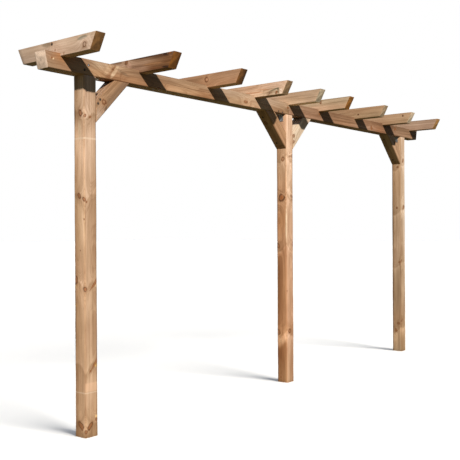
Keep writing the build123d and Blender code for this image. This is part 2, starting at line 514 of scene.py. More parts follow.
KNOT_CONE = make_knot_cone()
PINE_GRAIN = make_pine_grain()
IN_SUN = 0.76                 # how much of the light on a sunlit front a pine face sends back
TO_THE_LEFT = 0.755           # how much light a face turned to the left gets beside one in front
CUT_BACK_END = 0.60           # and a cut end that leans a little towards the ground
ARRIS_PAINTED_SHADE = 0.20             # painted shade: how much darker the rounded edges are than the faces, to tone down their highlight
PINE_GLOSS = 0.28
SKIN_WARMTH = (1.22, 1.55)    # how much faster green and blue fall than red as a tone darkens
SHUFFLE_WAVES = (3.0, 22, 22)
SHUFFLE_ALONG = 0.05          # how far borders between colours stray along the timber
SHUFFLE_ACROSS = 0.8          # and across it, as a part of how wide the border is
SHUFFLE_SAP_AND_LIGHT = 0.03
SHUFFLE_STAIN = 1.1           # in half widths of the stain
SHUFFLE_RUB = 0.006
CONE_MIDDLE = 0.07            # how far from the pith the colours stand where they are given
SAP_AND_LIGHT_REACH = 0.08
STAIN_RIM = (1.15, 0.55)      # where a stain begins and where it is full, in half widths
WHORL_TONES = (               # across a whorl of branches: (how far from it, the wood's tone)
    (-0.09, 1.0), (-0.03, 0.92), (-0.006, 0.84), (0.006, 1.17), (0.035, 1.08), (0.10, 1.0))
BROAD_RUB = 0.01              # a rubbed band wider than this is on the first side alone
END_TURN = (0.55, 0.68)       # how far a surface turns to the timber's end before it is cut wood
SOAK_WAVES = (30, 38, 38)
SOAK_TONES = (0.66, 1.30)
END_RINGS = (-0.42, 1.12)     # how much darker late wood is on a cut end, and its plain tone
END_ROUGHER = 0.18


def sunlit(colour, share=1.0):
    """The finish that looks like this colour (0 to 255) under its share of the sun."""
    return (*[IN_SUN / share * ((part / 255 + 0.055) / 1.055) ** 2.4 for part in colour], 1)


def new_material(name):
    """A material with nothing in it yet; returns it and its nodes' tree."""
    material = bpy.data.materials.new(name)
    material.use_nodes = True
    material.node_tree.nodes.clear()
    return material, material.node_tree


def finish_surface(tree, colour, rough, height, strength, depth):
    """Ends a material with its shader, whose fine relief is so strong and so many metres deep."""
    relief = add_node(tree, "ShaderNodeBump", [
        ("Height", height), ("Strength", strength), ("Distance", depth)])
    shader = add_node(tree, "ShaderNodeBsdfPrincipled", [
        ("Base Color", colour), ("Roughness", rough), ("Normal", relief.outputs[0])])
    add_node(tree, "ShaderNodeOutputMaterial", [(0, shader.outputs[0])])
    return shader


def grow_knots(tree, from_pith, pith, knots):
    """One timber's knots: how far the nearest one is, and how far all push the rings aside."""
    nearest = pushed = None
    for along, y, z, radius, lean, stretch, *rest in knots:
        oval_turn, buried, *begins = rest + [0.0] * (2 - len(rest))
        tip = Vector((along, y - pith[0], z - pith[1]))
        if begins:
            root = Vector((begins[0], begins[1] - pith[0], begins[2] - pith[1]))
        else:
            root = Vector((along - lean * Vector(tip[1:]).length, 0, 0))
        branch = (tip - root).normalized()
        side = Matrix.Rotation(oval_turn, 3, branch) @ branch.cross(Vector((1, 0, 0))).normalized()
        turn = Matrix((side.cross(branch), side, branch)).transposed().to_euler("XYZ")
        mapped = add_node(tree, "ShaderNodeMapping", [
            ("Vector", from_pith), ("Location", root), ("Rotation", turn),
            ("Scale", (radius * stretch, radius, (tip - root).length))],
            vector_type="TEXTURE").outputs[0]
        knot = add_node(tree, "ShaderNodeGroup", [
            ("Place", mapped), ("Radius", radius), ("Buried", buried)], node_tree=KNOT_CONE)
        if nearest is None:
            nearest, pushed = knot.outputs[:2]
        else:
            nearest = reckon(tree, "SMOOTH_MIN", nearest, knot.outputs[0], 0.5)
            pushed = reckon(tree, "ADD", pushed, knot.outputs[1])
    return nearest, pushed


def pine(name, length, wood, sides, across, spread, end_wood, shares=(1, 1)):
    """Solid pine for one timber whose grain runs along its own X.

    length is (from, to) along X. sides are the wood's colours along it, as (0 to 1, colour),
    and the timber turns from the first to the second across the given direction, within
    spread of its middle. shares are how much light either side gets, and end_wood is the
    colour of the cut ends. wood holds:
    pith: (y, z) of the tree's heart, seed: which wood it is, ring: how wide a year is, and
        figure: how strongly the years show.
    knots: (along, y, z, radius, lean, stretch) where they meet the face, and if wanted how the
        oval is turned, how far it lies under the face, and where it starts if sawn lengthwise.
    sap_and_painted_light: (y, z, tones): where the sapwood lies, and the wood's tones on the way
    there; these also paint a highlight near one front arris and shade at the back edge of
    the left face.
    cone: how much later towards the bark the colours along the timber change.
    whorls: where along it the tree put out its branches.
    stains: (along, y, z, half length, half width, tilt, share, colour).
    skins: how pale the weathered top is beside the sides, and how much
    lighter or darker the underside is painted for the shade and bounce light that fall there.
    rubs: pale bands worn by a strap: (along, half width, share, colour).
    pale_knots: how much of the plain wood shows in the middle of the knots.
    end_turn: how fast the cut end grows paler towards +Y.
    """
    pith, cone = wood["pith"], wood.get("cone", 0.0)
    material, tree = new_material(name)
    spot = add_node(tree, "ShaderNodeTexCoord")
    here = spot.outputs["Object"]
    from_pith = reckon_place(tree, "SUBTRACT", here, (0, *pith))
    nearest, pushed = grow_knots(tree, from_pith, pith, wood["knots"])

    # The wood's colours along both sides, shuffled a little so that no border is ruled.
    along, sideways, _ = add_node(tree, "ShaderNodeSeparateXYZ", [(0, here)]).outputs
    out_from_pith = reckon_place(tree, "LENGTH", reckon_place(
        tree, "MULTIPLY", from_pith, (0, 1, 1)))
    shuffle = stretched_noise(tree, here, SHUFFLE_WAVES, 2)[0]
    shuffle = reckon(tree, "SUBTRACT", shuffle, 0.5)
    place_along = reckon(tree, "MULTIPLY_ADD", out_from_pith, cone, along)
    place_along = reckon(tree, "MULTIPLY_ADD", shuffle, SHUFFLE_ALONG, place_along)
    place_along = reckon(tree, "SUBTRACT", place_along, cone * CONE_MIDDLE)
    part = between(tree, place_along, *length)
    one, other = [shade_steps(tree, part, [
        (at, sunlit(colour, share)) for at, colour in side], "EASE").outputs[0]
        for side, share in zip(sides, shares)]
    aside = reckon_place(tree, "DOT_PRODUCT", here, (0, *across))
    aside = reckon(tree, "MULTIPLY_ADD", shuffle, spread * SHUFFLE_ACROSS, aside)
    turned = between(tree, aside, -spread, spread, how="SMOOTHSTEP")
    timber = blend(tree, turned, one, other)
    for at, y, z, half_long, half_wide, tilt, share, stained in wood.get("stains", ()):
        mapped = add_node(tree, "ShaderNodeMapping", [
            ("Vector", here), ("Location", (at, y, z)), ("Rotation", (0, -tilt, 0)),
            ("Scale", (half_long, half_wide, half_wide))], vector_type="TEXTURE").outputs[0]
        away = reckon_place(tree, "LENGTH", mapped)
        away = reckon(tree, "MULTIPLY_ADD", shuffle, SHUFFLE_STAIN, away)
        mark = between(tree, away, *STAIN_RIM, to_high=share, how="SMOOTHSTEP")
        timber = blend(tree, mark, timber, sunlit(stained, shares[0]))

    # Tones over those colours: sapwood, which also paints a highlight and shade, whorls, a
    # weathered top with a painted underside, and painted shade on the rounded arrises.
    tones = []
    if "sap_and_painted_light" in wood:
        # Paler towards the sapwood, and with it a painted highlight near one front arris and painted shade
        # at the back edge of the left face.
        sap_light_y, sap_light_z, sap_light_tones = wood["sap_and_painted_light"]
        towards_sap_and_light = reckon_place(tree, "DOT_PRODUCT", here, (0, sap_light_y, sap_light_z))
        towards_sap_and_light = reckon(tree, "MULTIPLY_ADD", shuffle, SHUFFLE_SAP_AND_LIGHT, towards_sap_and_light)
        tones.append(tone_steps(
            tree, between(tree, towards_sap_and_light, -SAP_AND_LIGHT_REACH, SAP_AND_LIGHT_REACH), sap_light_tones, "EASE"))
    if "whorls" in wood:
        way = math.copysign(1, cone)
        marks = [((at + way * off - length[0]) / (length[1] - length[0]), tone)
                 for at in wood["whorls"] for off, tone in WHORL_TONES]
        tones.append(tone_steps(tree, part, sorted(marks)))
    facing = add_node(tree, "ShaderNodeSeparateXYZ", [(0, spot.outputs["Normal"])]).outputs
    if "skins" in wood:
        # A weathered top, and an underside painted lighter or darker for the shade and bounce light under
        # it.
        top, under = wood["skins"]
        upward = reckon(tree, "MULTIPLY_ADD", facing[2], 0.5, 0.5)
        tones.append(tone_steps(tree, upward, [(0.06, under), (0.2, 1), (0.8, 1), (0.94, top)]))
    # Painted shade on the rounded arrises, strongest where the surface turns halfway between two faces.
    on_arris = reckon(tree, "ABSOLUTE", reckon(tree, "MULTIPLY", facing[1], facing[2]))
    tones.append(reckon(tree, "MULTIPLY_ADD", on_arris, -ARRIS_PAINTED_SHADE, 0.5))
    for tone in tones:
        tone = reckon(tree, "MULTIPLY", tone, 2.0)
        warm_tone = gather(
            tree, tone, *[reckon(tree, "POWER", tone, power) for power in SKIN_WARMTH])
        timber = blend(tree, 1.0, timber, warm_tone, "MULTIPLY")

    grain = add_node(tree, "ShaderNodeGroup", [
        ("Place", from_pith), ("Knot", nearest), ("Push", pushed), ("Wood", timber),
        ("Figure", wood["figure"]), ("Ring", wood["ring"]), ("Seed", wood["seed"]),
        ("Pale Knots", wood.get("pale_knots", 0.1))], node_tree=PINE_GRAIN).outputs
    colour = grain["Colour"]
    for at, wide, share, worn in wood.get("rubs", ()):
        off = reckon(tree, "ABSOLUTE", reckon(tree, "SUBTRACT", along, at))
        off = reckon(tree, "MULTIPLY_ADD", shuffle, SHUFFLE_RUB, off)
        mark = between(tree, off, wide, wide * 0.6, to_high=share, how="SMOOTHSTEP")
        if wide > BROAD_RUB:
            mark = reckon(tree, "MULTIPLY", mark, reckon(tree, "SUBTRACT", 1.0, turned))
        colour = blend(tree, mark, colour, sunlit(worn))

    # The cut ends soak up water and treatment: darker, rougher, with every ring showing.
    is_end = between(tree, reckon(tree, "ABSOLUTE", facing[0]), *END_TURN)
    ring_tone = reckon(tree, "MULTIPLY_ADD", grain["Late"], *END_RINGS)
    soaked = stretched_noise(tree, here, SOAK_WAVES, 3)[0]
    ring_tone = reckon(tree, "MULTIPLY", ring_tone, between(tree, soaked, 0.3, 0.7, *SOAK_TONES))
    ring_tone = reckon(tree, "MULTIPLY", ring_tone, reckon(
        tree, "MULTIPLY_ADD", sideways, wood.get("end_turn", 0), 1.0))
    end_colour = blend(tree, 1.0, sunlit(end_wood, CUT_BACK_END),
                       gather(tree, ring_tone, ring_tone, ring_tone), "MULTIPLY")
    colour = blend(tree, is_end, colour, end_colour)
    rough = reckon(tree, "MULTIPLY_ADD", is_end, END_ROUGHER, grain["Roughness"])
    shader = finish_surface(tree, colour, rough, grain["Height"], strength=0.55, depth=0.0006)
    shader.inputs["Specular IOR Level"].default_value = PINE_GLOSS
    return material


def stand(timber, node, place, material):
    """Sets a timber in its place and lets it stand for its CAD node."""
    timber.matrix_world = place
    timber.data.materials.append(material)
    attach(timber, "root")
    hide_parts(node)


def post_axes(middle):
    """A post's grain runs up; its own Y is the beam's line and its own Z runs to the back."""
    return Matrix(((0, 1, 0, middle.x), (0, 0, 1, middle.y), (1, 0, 0, 0), (0, 0, 0, 1)))


FACE = -0.045                 # from a post's middle to its left face or its front
BACK = 0.045                  # and to its right face or its back
POSTS = {
    "post_left": dict(
        pith=(0.020, 0.022), seed=1.3, ring=0.0046, figure=0.42, cone=2.6,
        sap_and_painted_light=(-0.7, -1, [(0.0, 0.95), (0.40, 0.72), (0.56, 0.80), (0.70, 1.0), (0.81, 1.16), (0.90, 1.30),
                        (0.95, 1.22), (0.99, 1.08)]),
        whorls=(0.075, 0.405, 0.860, 1.345, 1.800),
        front=[(0.0, (176, 137, 99)), (0.045, (184, 144, 106)), (0.12, (196, 156, 120)),
               (0.17, (204, 164, 127)), (0.19, (193, 154, 117)), (0.30, (189, 149, 114)),
               (0.39, (199, 160, 124)), (0.43, (184, 145, 110)), (0.62, (186, 147, 112)),
               (0.68, (198, 159, 124)), (0.82, (219, 181, 148)), (0.89, (203, 166, 133)),
               (1.0, (199, 161, 130))],
        left=[(0.0, (172, 133, 97)), (0.045, (182, 143, 107)), (0.15, (171, 133, 99)),
              (0.30, (182, 143, 107)), (0.42, (201, 160, 123)), (0.46, (179, 139, 104)),
              (0.62, (205, 166, 128)), (0.68, (192, 153, 117)), (0.82, (224, 184, 149)),
              (0.90, (192, 155, 122)), (1.0, (187, 153, 122))],
        knots=[(0.063, -0.012, FACE, 0.0115, -0.3, 2.0, -0.7),
               (0.065, FACE, -0.007, 0.0145, -0.3, 1.95, 0.9), (0.034, -0.042, -0.043, 0.0075, -0.3, 1.2),
               (0.093, 0.033, FACE, 0.0070, -0.3, 1.1), (0.368, -0.008, FACE, 0.0050, -0.4, 1.1),
               (0.440, 0.050, -0.043, 0.0090, 0, 1.0, 0, 0.05, 0.382, 0.004, FACE),
               (0.822, -0.044, -0.044, 0.0105, -0.5, 1.1), (0.873, FACE, 0.031, 0.0145, -0.4, 1.5),
               (0.887, 0.058, -0.043, 0.0120, 0, 1.0, 0, 0.05, 0.836, 0.009, FACE),
               (1.342, FACE, 0.000, 0.0105, -0.4, 1.35, 0.5), (1.321, FACE, -0.039, 0.0085, -0.4, 1.3, 0.6),
               (1.307, -0.032, FACE, 0.0042, -0.3, 1.1), (1.360, 0.040, FACE, 0.0120, -0.8, 1.5, 0, 1.0),
               (1.802, FACE, -0.012, 0.0125, -0.5, 1.35, 0.6),
               (1.783, -0.040, FACE, 0.0068, -0.4, 1.2, -0.8),
               (1.780, -0.002, FACE, 0.0050, -0.4, 1.4, -1.1), (1.211, FACE, -0.041, 0.0034, -0.3, 1.2),
               (1.038, FACE, -0.007, 0.0030, -0.3, 1.1), (0.86, 0.01, BACK, 0.0150, -0.6, 1.3),
               (1.34, BACK, 0.012, 0.0165, -0.6, 1.3)],
        stains=[(1.710, FACE, -0.006, 0.070, 0.013, 0, 0.65, (234, 202, 164)),
                (1.790, FACE, 0.036, 0.060, 0.012, 0, 0.55, (148, 116, 80)),
                (1.318, FACE, 0.028, 0.020, 0.010, 0, 0.60, (236, 200, 158)),
                (0.840, FACE, 0.034, 0.014, 0.012, 0, 0.85, (246, 202, 142)),
                (0.733, FACE, 0.033, 0.012, 0.011, 0, 0.90, (248, 198, 134)),
                (0.400, 0.029, FACE, 0.014, 0.011, 0, 0.95, (255, 208, 128)),
                (0.110, 0.031, FACE, 0.012, 0.009, 0, 0.90, (252, 206, 140)),
                (0.845, 0.034, FACE, 0.014, 0.013, 0, 0.85, (244, 208, 164)),
                (0.640, FACE, 0.036, 0.200, 0.012, 0, 0.50, (146, 108, 70)),
                (0.640, 0.012, FACE, 0.220, 0.010, 0, 0.45, (158, 122, 86))],
        rubs=[(1.660, 0.006, 0.42, (250, 222, 190)), (0.248, 0.004, 0.34, (250, 222, 190)),
              (0.279, 0.030, 0.42, (248, 198, 158))],
        checks=[(0, -0.006, 0.88, 1.16, 0.010, 0.0016), (3, 0.012, 1.45, 1.98, 0.008, 0.0013),
                (2, 0.014, 0.35, 1.30, 0.014, 0.0022), (1, -0.008, 1.1, 2.2, 0.012, 0.0018),
                (0, -0.030, 1.62, 2.05, 0.006, 0.0010)]),
    "post_middle": dict(
        pale_knots=0.4, pith=(0.018, 0.020), seed=7.9, ring=0.0040, figure=0.50, cone=-2.0,
        sap_and_painted_light=(-0.7, -1, [(0.0, 0.95), (0.40, 0.84), (0.58, 0.92), (0.74, 1.05), (0.88, 1.20), (0.94, 1.14),
                        (0.99, 1.04)]),
        whorls=(0.355, 1.000, 1.370, 1.660),
        front=[(0.0, (198, 154, 117)), (0.16, (200, 155, 120)), (0.20, (188, 138, 100)),
               (0.24, (206, 158, 122)), (0.48, (206, 160, 124)), (0.51, (218, 174, 138)),
               (0.56, (206, 162, 127)), (0.68, (218, 175, 139)), (0.71, (240, 200, 165)),
               (0.83, (240, 199, 164)), (1.0, (232, 190, 156))],
        left=[(0.0, (166, 120, 80)), (0.13, (155, 104, 65)), (0.155, (202, 152, 110)),
              (0.18, (187, 136, 94)), (0.20, (168, 118, 79)), (0.34, (172, 122, 82)),
              (0.48, (168, 118, 80)), (0.51, (187, 138, 100)), (0.60, (182, 130, 88)),
              (0.67, (184, 136, 97)), (0.71, (194, 147, 109)), (0.82, (194, 153, 117)),
              (1.0, (194, 150, 114))],
        knots=[(0.038, FACE, 0.013, 0.0060, 0.2, 1.3), (0.385, -0.007, FACE, 0.0125, 0.5, 1.2, -0.5),
               (0.375, FACE, 0.034, 0.0150, 0.5, 1.3, 0.5), (0.688, -0.040, FACE, 0.0034, 0.2, 1.8),
               (1.038, 0.034, FACE, 0.0095, 0.6, 1.4), (1.024, FACE, 0.030, 0.0115, 0.5, 1.5, 0.4),
               (1.388, FACE, -0.002, 0.0235, 0.4, 1.25, -0.8), (1.398, 0.024, FACE, 0.0075, 0.4, 1.8, 1.1),
               (1.676, FACE, -0.015, 0.0105, 0.4, 1.4, 0.3), (1.704, 0.032, FACE, 0.0075, 0.4, 1.4, -0.5),
               (1.697, 0.000, FACE, 0.0058, 0.3, 1.8, -1.1), (1.03, BACK, 0.0, 0.0150, 0.6, 1.3),
               (0.39, 0.012, BACK, 0.0165, 0.6, 1.3), (1.69, BACK, 0.016, 0.0135, 0.6, 1.3)],
        stains=[(1.640, FACE, 0.020, 0.040, 0.014, 0, 0.50, (214, 176, 138)),
                (0.330, FACE, 0.018, 0.045, 0.016, 0.2, 0.60, (214, 166, 124)),
                (0.700, FACE, 0.024, 0.260, 0.016, 0, 0.30, (142, 94, 58)),
                (1.388, FACE, -0.002, 0.022, 0.020, -0.7, 0.90, (214, 132, 78)),
                (1.665, FACE, 0.012, 0.012, 0.010, 0.4, 0.60, (224, 186, 148)),
                (1.190, -0.043, -0.043, 0.150, 0.008, 0, 0.75, (255, 226, 190)),
                (0.985, FACE, 0.020, 0.020, 0.010, 0.5, 0.60, (216, 172, 130)),
                (0.955, 0.038, FACE, 0.030, 0.008, 0, 0.60, (236, 200, 162))],
        checks=[(3, -0.010, 0.12, 0.92, 0.011, 0.0015), (2, -0.010, 0.9, 2.2, 0.013, 0.0020),
                (1, 0.015, 0.2, 0.8, 0.010, 0.0015), (0, 0.021, 0.45, 0.80, 0.006, 0.0010)]),
    "post_right": dict(
        pith=(-0.020, 0.018), seed=15.2, ring=0.0043, figure=0.48, cone=-1.2,
        sap_and_painted_light=(0.3, -1, [(0.0, 0.85), (0.10, 0.60), (0.22, 0.82), (0.40, 1.05), (0.62, 1.14), (0.70, 0.92),
                       (0.78, 1.02), (0.88, 1.20)]),
        whorls=(0.225, 0.835, 1.330, 1.745),
        front=[(0.0, (176, 141, 102)), (0.05, (183, 147, 108)), (0.10, (207, 169, 130)),
               (0.20, (187, 152, 118)), (0.31, (199, 166, 132)), (0.42, (209, 176, 142)),
               (0.52, (206, 174, 142)), (0.60, (206, 176, 146)), (0.66, (216, 185, 153)),
               (0.75, (207, 175, 143)), (1.0, (211, 178, 147))],
        left=[(0.0, (166, 138, 107)), (0.10, (176, 141, 105)), (0.15, (156, 121, 88)),
              (0.28, (142, 113, 83)), (0.37, (153, 123, 92)), (0.45, (176, 144, 113)),
              (0.66, (176, 144, 112)), (0.80, (177, 141, 107)), (1.0, (186, 150, 114))],
        knots=[(0.290, -0.030, FACE, 0.0085, 0.3, 1.6, -0.6), (0.262, FACE, -0.020, 0.0070, 0.4, 1.6, 0.6),
               (0.196, FACE, 0.008, 0.0085, 0.3, 1.8), (0.852, -0.030, FACE, 0.0070, 0.3, 1.4, -0.6),
               (0.838, FACE, -0.036, 0.0065, 0.3, 1.3, 0.5), (1.350, 0.010, FACE, 0.0100, 0.4, 1.9, -0.5),
               (1.346, FACE, -0.006, 0.0062, 0.3, 1.3), (1.790, 0.002, FACE, 0.0095, 0.4, 1.9, -0.5),
               (1.730, FACE, -0.016, 0.0058, 0.3, 1.2), (1.33, BACK, 0.01, 0.0150, 0.5, 1.4),
               (0.84, 0.0, BACK, 0.0180, 0.5, 1.4)],
        stains=[(1.745, FACE, -0.012, 0.016, 0.012, 0, 0.80, (226, 196, 160)),
                (1.385, 0.000, FACE, 0.030, 0.010, -0.4, 0.70, (236, 206, 174)),
                (1.100, FACE, 0.036, 0.260, 0.012, 0, 0.55, (140, 108, 78)),
                (0.560, FACE, 0.036, 0.200, 0.011, 0, 0.60, (136, 94, 62))],
        checks=[(3, 0.004, 0.45, 1.45, 0.012, 0.0015), (1, 0.0, -0.2, 0.9, 0.010, 0.0016),
                (2, 0.012, 0.6, 1.7, 0.012, 0.0018)]),
}
for number, (node, wood) in enumerate(POSTS.items()):
    low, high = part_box(node)
    tall = high.z - low.z
    planed = pine(node + "_pine", (0, tall), wood, (wood["front"], wood["left"]),
                  across=(-1, 1), spread=0.010, end_wood=(150, 118, 84), shares=(1, TO_THE_LEFT))
    post = saw_timber("timber_" + node, (0, tall), (high.x - low.x, high.y - low.y),
                      POST_ARRIS, checks=wood["checks"], seed=number)
    stand(post, node, post_axes((low + high) / 2), planed)


# ----------------------------------------------------------------------- beam
# A square pine beam in two lengths, laid flat along the tops of the posts and butted over
# the middle one. Its outer ends are cut with a slight slope, longer at the top.
BEAM_ARRIS = 0.006
BEAM_END_LEAN = 0.020
# Its own Y runs to the back, so its front is at FACE and its back at BACK, as a post's are.
BEAMS = {
    "beam_left": dict(
        pith=(0.055, -0.030), seed=23.4, ring=0.0050, figure=0.55,
        upper=[(0.0, (169, 134, 105)), (0.055, (177, 122, 77)), (0.12, (169, 129, 96)),
               (0.165, (186, 153, 120)), (0.21, (184, 146, 112)), (0.34, (158, 122, 91)),
               (0.52, (171, 134, 100)), (0.66, (190, 158, 128)), (0.80, (192, 158, 126)),
               (0.90, (194, 162, 133)), (1.0, (200, 167, 135))],
        lower=[(0.0, (162, 129, 98)), (0.07, (180, 138, 103)), (0.165, (201, 156, 114)),
               (0.20, (161, 115, 78)), (0.30, (179, 131, 93)), (0.515, (206, 161, 120)),
               (0.57, (170, 122, 83)), (0.69, (194, 155, 118)), (0.85, (195, 155, 119)),
               (1.0, (155, 117, 83))],
        knots=[(-2.207, FACE, 0.010, 0.0045, 0.3, 1.2), (-1.775, FACE, 0.018, 0.0182, 0.9, 1.5, 0, 0.9),
               (-0.535, FACE, -0.014, 0.0097, 0.4, 1.8), (-1.40, FACE, -0.045, 0.0104, 0.4, 1.6),
               (-0.02, FACE, 0.006, 0.0078, 0.3, 1.3), (-1.1, 0.01, BACK, 0.0156, 0.3, 1.4)],
        # The first stain is a painted highlight: a small pale cream spot beside the knot at the left end.
        stains=[(-2.200, FACE, 0.008, 0.008, 0.0065, 0, 0.90, (250, 218, 174)),
                (-1.757, FACE, 0.012, 0.070, 0.013, 0.94, 0.75, (222, 188, 150)),
                (-1.769, FACE, 0.022, 0.036, 0.007, 0.90, 0.80, (146, 98, 62)),
                (-1.808, FACE, 0.014, 0.060, 0.018, 0.90, 0.55, (214, 176, 136)),
                (-1.700, FACE, 0.010, 0.060, 0.010, -0.30, 0.55, (142, 112, 84))],
        checks=[(3, 0.004, -1.30, -0.90, 0.008, 0.0012), (2, 0.010, -2.0, -0.4, 0.014, 0.0020),
                (1, -0.012, -2.35, -1.4, 0.012, 0.0018)]),
    "beam_right": dict(
        pith=(-0.020, 0.062), seed=31.8, ring=0.0042, figure=0.62,
        upper=[(0.0, (169, 136, 107)), (0.12, (153, 115, 86)), (0.28, (142, 104, 74)),
               (0.46, (152, 113, 82)), (0.60, (156, 114, 82)), (0.72, (130, 94, 66)), (0.84, (131, 98, 70)),
               (1.0, (140, 108, 81))],
        lower=[(0.0, (172, 129, 100)), (0.15, (168, 126, 96)), (0.34, (174, 130, 96)),
               (0.55, (173, 133, 104)), (0.66, (153, 104, 70)), (0.74, (140, 102, 74)),
               (0.84, (163, 126, 96)), (1.0, (171, 133, 101))],
        knots=[(0.42, FACE, 0.010, 0.0065, 0.3, 1.5), (1.27, FACE, -0.020, 0.0078, 0.4, 1.6),
               (1.72, FACE, 0.015, 0.0091, 0.4, 1.8), (2.05, FACE, -0.012, 0.0065, 0.3, 1.3),
               (0.9, 0.02, BACK, 0.0143, 0.3, 1.4)],
        checks=[(3, -0.014, 0.35, 0.95, 0.008, 0.0012), (3, 0.010, 1.9, 2.4, 0.010, 0.0015),
                (2, -0.006, 0.2, 1.9, 0.014, 0.0020)]),
}
for number, (node, wood) in enumerate(BEAMS.items()):
    low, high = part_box(node)
    middle = Vector((0, (low.y + high.y) / 2, (low.z + high.z) / 2))
    tall = high.z - low.z
    ends = [low.x, high.x]
    slopes = [0, 0]
    if abs(low.x) > abs(high.x):
        ends[0] += BEAM_END_LEAN / 2
        slopes[0] = -BEAM_END_LEAN / tall
    else:
        ends[1] -= BEAM_END_LEAN / 2
        slopes[1] = BEAM_END_LEAN / tall
    planed = pine(node + "_pine", (low.x, high.x), wood, (wood["lower"], wood["upper"]),
                  across=(0, 1), spread=0.030, end_wood=(188, 162, 140))
    beam = saw_timber("timber_" + node, ends, (high.y - low.y, tall), BEAM_ARRIS,
                      slopes=slopes, checks=wood["checks"], seed=10 + number)
    stand(beam, node, Matrix.Translation(middle), planed)


